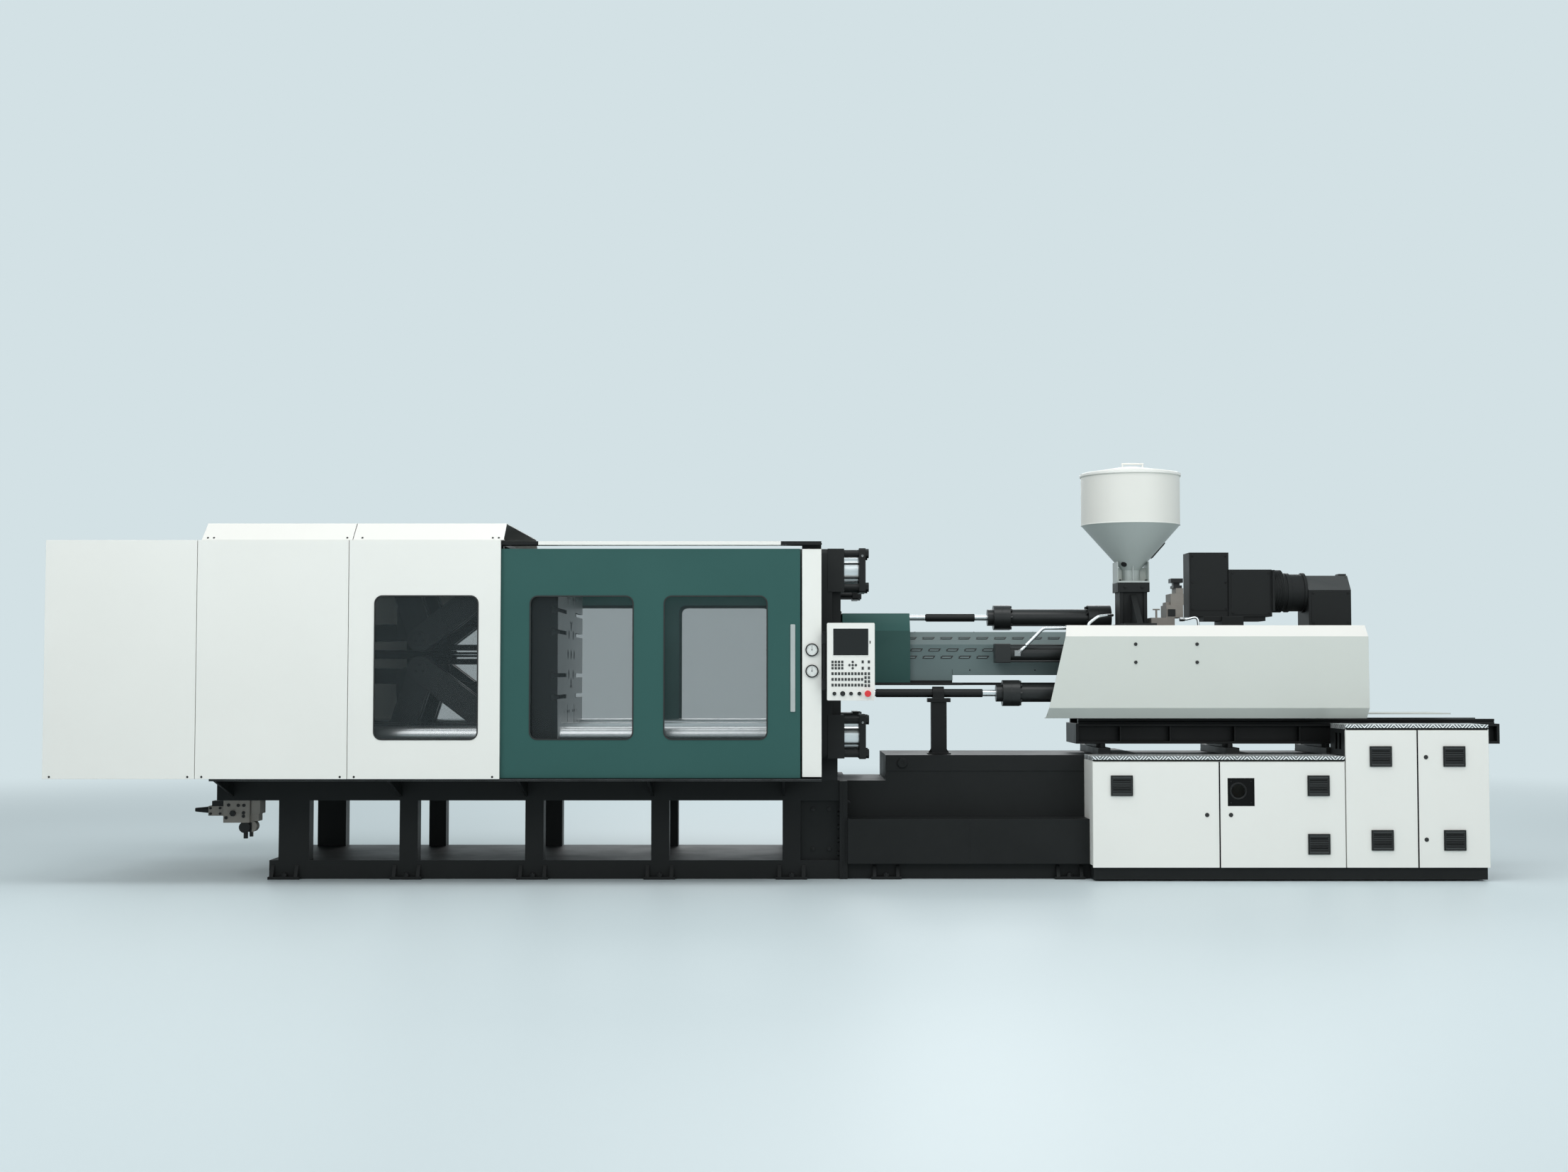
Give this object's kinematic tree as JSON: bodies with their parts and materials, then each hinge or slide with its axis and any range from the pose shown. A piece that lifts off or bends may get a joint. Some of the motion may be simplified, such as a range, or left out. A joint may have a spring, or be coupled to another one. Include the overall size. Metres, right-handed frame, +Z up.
{
  "type": "injection moulding machine",
  "caption": "Horizontal injection moulding machine with toggle clamp, tie bars, sliding guard doors, screw injection unit with hopper, control panel and cabinets.",
  "frame": {"origin": "on the floor, in the middle of the length, under the clamping axis", "axes": "+X from the clamp end to the injection end, +Y away from the operator, +Z up"},
  "size_m": [9.884, 2.332, 2.9055],
  "materials": {
    "white_paint": "satin",
    "dark_paint": "satin",
    "green_paint": "satin",
    "grey_paint": "satin",
    "chrome": "polished",
    "bare_steel": "satin",
    "zinc": "satin",
    "link_steel": "machined",
    "black_plastic": "matte",
    "red_plastic": "gloss",
    "clear_pane": "clear"
  },
  "bodies": {
    "frame": {"clamp_bed": "dark_paint", "tie_bars": "chrome", "fixed_platen": "dark_paint", "tie_bar_retainers": "dark_paint", "guard_frame": "dark_paint", "front_cover": "white_paint", "cover_panes": "clear_pane", "rear_cover": "white_paint", "roof_cover": "white_paint", "post_covers": "white_paint", "pressure_gauges": "black_plastic", "clamp_manifold": "bare_steel", "injection_bed": "dark_paint", "front_tray": "dark_paint", "low_cabinet": "white_paint", "tall_cabinet": "dark_paint", "cabinet_tops": "zinc", "sled_base": "dark_paint", "sled_rails": "dark_paint", "rod_stand": "dark_paint", "carriage_rods": "chrome"},
    "tail_stock": {"tail_stock": "dark_paint", "clamp_cylinder": "dark_paint", "adjusting_nuts": "bare_steel"},
    "moving_platen": {"moving_platen": "dark_paint"},
    "ejector": {"ejector": "chrome"},
    "crosshead": {"crosshead": "chrome"},
    "rear_link_upper": {"rear_link_upper": "link_steel"},
    "rear_link_lower": {"rear_link_lower": "link_steel"},
    "front_link_upper": {"front_link_upper": "link_steel"},
    "front_link_lower": {"front_link_lower": "link_steel"},
    "crosshead_link_upper": {"crosshead_link_upper": "link_steel"},
    "crosshead_link_lower": {"crosshead_link_lower": "link_steel"},
    "front_door": {"front_door": "green_paint", "front_door_panes": "clear_pane", "front_door_handle": "zinc"},
    "rear_door": {"rear_door": "green_paint", "rear_door_panes": "clear_pane"},
    "low_door_left": {"low_door_left": "white_paint"},
    "low_door_right": {"low_door_right": "white_paint"},
    "tall_door_left": {"tall_door_left": "white_paint"},
    "tall_door_right": {"tall_door_right": "white_paint"},
    "control_panel": {"panel_housing": "white_paint", "panel_screen": "black_plastic"},
    "emergency_stop": {"emergency_stop": "red_plastic"},
    "selector_switch": {"selector_switch": "black_plastic"},
    "start_button": {"start_button": "black_plastic"},
    "stop_button": {"stop_button": "black_plastic"},
    "reset_button": {"reset_button": "black_plastic"},
    "carriage": {"injection_housing": "dark_paint", "barrel": "bare_steel", "barrel_cover": "grey_paint", "cylinders": "dark_paint", "injection_covers": "white_paint", "hopper": "white_paint", "injection_manifold": "bare_steel"},
    "hopper_lid": {"hopper_lid": "white_paint"},
    "purge_guard": {"purge_guard": "green_paint"},
    "screw_drive": {"screw_drive": "dark_paint"},
    "screw": {"screw": "chrome"}
  },
  "joints": [
    {"name": "die_height_slide", "type": "slide", "parent": "frame", "child": "tail_stock", "axis": [1, 0, 0], "range_m": [-0.15, 0.15]},
    {"name": "clamp_slide", "type": "slide", "parent": "tail_stock", "child": "moving_platen", "axis": [1, 0, 0], "range_m": [0, 0.5262]},
    {"name": "rear_link_upper_pivot", "type": "hinge", "parent": "tail_stock", "child": "rear_link_upper", "pos_m": [-2.75997, 0, 2.13], "axis": [0, -1, 0], "range_deg": [0, 72.1]},
    {"name": "rear_link_lower_pivot", "type": "hinge", "parent": "tail_stock", "child": "rear_link_lower", "pos_m": [-2.75997, 0, 0.93], "axis": [0, 1, 0], "range_deg": [0, 72.1]},
    {"name": "front_link_upper_pivot", "type": "hinge", "parent": "moving_platen", "child": "front_link_upper", "pos_m": [-1.947, 0, 2.13], "axis": [0, 1, 0], "range_deg": [0, 37.3]},
    {"name": "front_link_lower_pivot", "type": "hinge", "parent": "moving_platen", "child": "front_link_lower", "pos_m": [-1.947, 0, 0.93], "axis": [0, -1, 0], "range_deg": [0, 37.3]},
    {"name": "crosshead_slide", "type": "slide", "parent": "tail_stock", "child": "crosshead", "axis": [1, 0, 0], "range_m": [0, 0.6438]},
    {"name": "crosshead_link_upper_pivot", "type": "hinge", "parent": "crosshead", "child": "crosshead_link_upper", "pos_m": [-3.09164, 0, 1.68], "axis": [0, -1, 0], "range_deg": [0, 69.79]},
    {"name": "crosshead_link_lower_pivot", "type": "hinge", "parent": "crosshead", "child": "crosshead_link_lower", "pos_m": [-3.09164, 0, 1.38], "axis": [0, 1, 0], "range_deg": [0, 69.79]},
    {"name": "ejector_slide", "type": "slide", "parent": "moving_platen", "child": "ejector", "axis": [1, 0, 0], "range_m": [0, 0.2]},
    {"name": "front_door_slide", "type": "slide", "parent": "frame", "child": "front_door", "axis": [-1, 0, 0], "range_m": [0, 1.88]},
    {"name": "rear_door_slide", "type": "slide", "parent": "frame", "child": "rear_door", "axis": [-1, 0, 0], "range_m": [0, 1.88]},
    {"name": "low_door_left_hinge", "type": "hinge", "parent": "frame", "child": "low_door_left", "pos_m": [2, -0.797, 0.45], "axis": [0, 0, -1], "range_deg": [0, 85]},
    {"name": "low_door_right_hinge", "type": "hinge", "parent": "frame", "child": "low_door_right", "pos_m": [3.69, -0.797, 0.45], "axis": [0, 0, 1], "range_deg": [0, 85]},
    {"name": "tall_door_left_hinge", "type": "hinge", "parent": "frame", "child": "tall_door_left", "pos_m": [3.703, -0.797, 0.55], "axis": [0, 0, -1], "range_deg": [0, 85]},
    {"name": "tall_door_right_hinge", "type": "hinge", "parent": "frame", "child": "tall_door_right", "pos_m": [4.66, -0.797, 0.55], "axis": [0, 0, 1], "range_deg": [0, 110]},
    {"name": "panel_swivel", "type": "hinge", "parent": "frame", "child": "control_panel", "pos_m": [0.186, -1.141, 1.47], "axis": [0, 0, -1], "range_deg": [0, 90]},
    {"name": "emergency_stop_press", "type": "slide", "parent": "control_panel", "child": "emergency_stop", "axis": [0, 1, 0], "range_m": [0, 0.005], "stiffness_N_per_m": 1500},
    {"name": "start_press", "type": "slide", "parent": "control_panel", "child": "start_button", "axis": [0, 1, 0], "range_m": [0, 0.004], "stiffness_N_per_m": 800},
    {"name": "stop_press", "type": "slide", "parent": "control_panel", "child": "stop_button", "axis": [0, 1, 0], "range_m": [0, 0.004], "stiffness_N_per_m": 800},
    {"name": "reset_press", "type": "slide", "parent": "control_panel", "child": "reset_button", "axis": [0, 1, 0], "range_m": [0, 0.004], "stiffness_N_per_m": 800},
    {"name": "selector_turn", "type": "hinge", "parent": "control_panel", "child": "selector_switch", "pos_m": [0.3065, -1.166, 1.262], "axis": [0, 1, 0], "range_deg": [-45, 45]},
    {"name": "carriage_slide", "type": "slide", "parent": "frame", "child": "carriage", "axis": [1, 0, 0], "range_m": [0, 0.5]},
    {"name": "injection_slide", "type": "slide", "parent": "carriage", "child": "screw_drive", "axis": [1, 0, 0], "range_m": [0, 0.4]},
    {"name": "screw_spin", "type": "hinge", "parent": "screw_drive", "child": "screw", "pos_m": [2, 0, 1.53], "axis": [1, 0, 0], "continuous": true},
    {"name": "purge_guard_slide", "type": "slide", "parent": "carriage", "child": "purge_guard", "axis": [1, 0, 0], "range_m": [0, 0.35]},
    {"name": "hopper_lid_lift", "type": "slide", "parent": "carriage", "child": "hopper_lid", "axis": [0, 0, 1], "range_m": [0, 0.3]}
  ],
  "couplings": [
    {"joint": "rear_link_upper_pivot", "follows": "clamp_slide", "rad_per_m": 2.3881},
    {"joint": "rear_link_lower_pivot", "follows": "clamp_slide", "rad_per_m": 2.3881},
    {"joint": "front_link_upper_pivot", "follows": "clamp_slide", "rad_per_m": 1.2339},
    {"joint": "front_link_lower_pivot", "follows": "clamp_slide", "rad_per_m": 1.2339},
    {"joint": "crosshead_slide", "follows": "clamp_slide", "ratio": 1.2226},
    {"joint": "crosshead_link_upper_pivot", "follows": "clamp_slide", "rad_per_m": 2.3115},
    {"joint": "crosshead_link_lower_pivot", "follows": "clamp_slide", "rad_per_m": 2.3115}
  ]
}
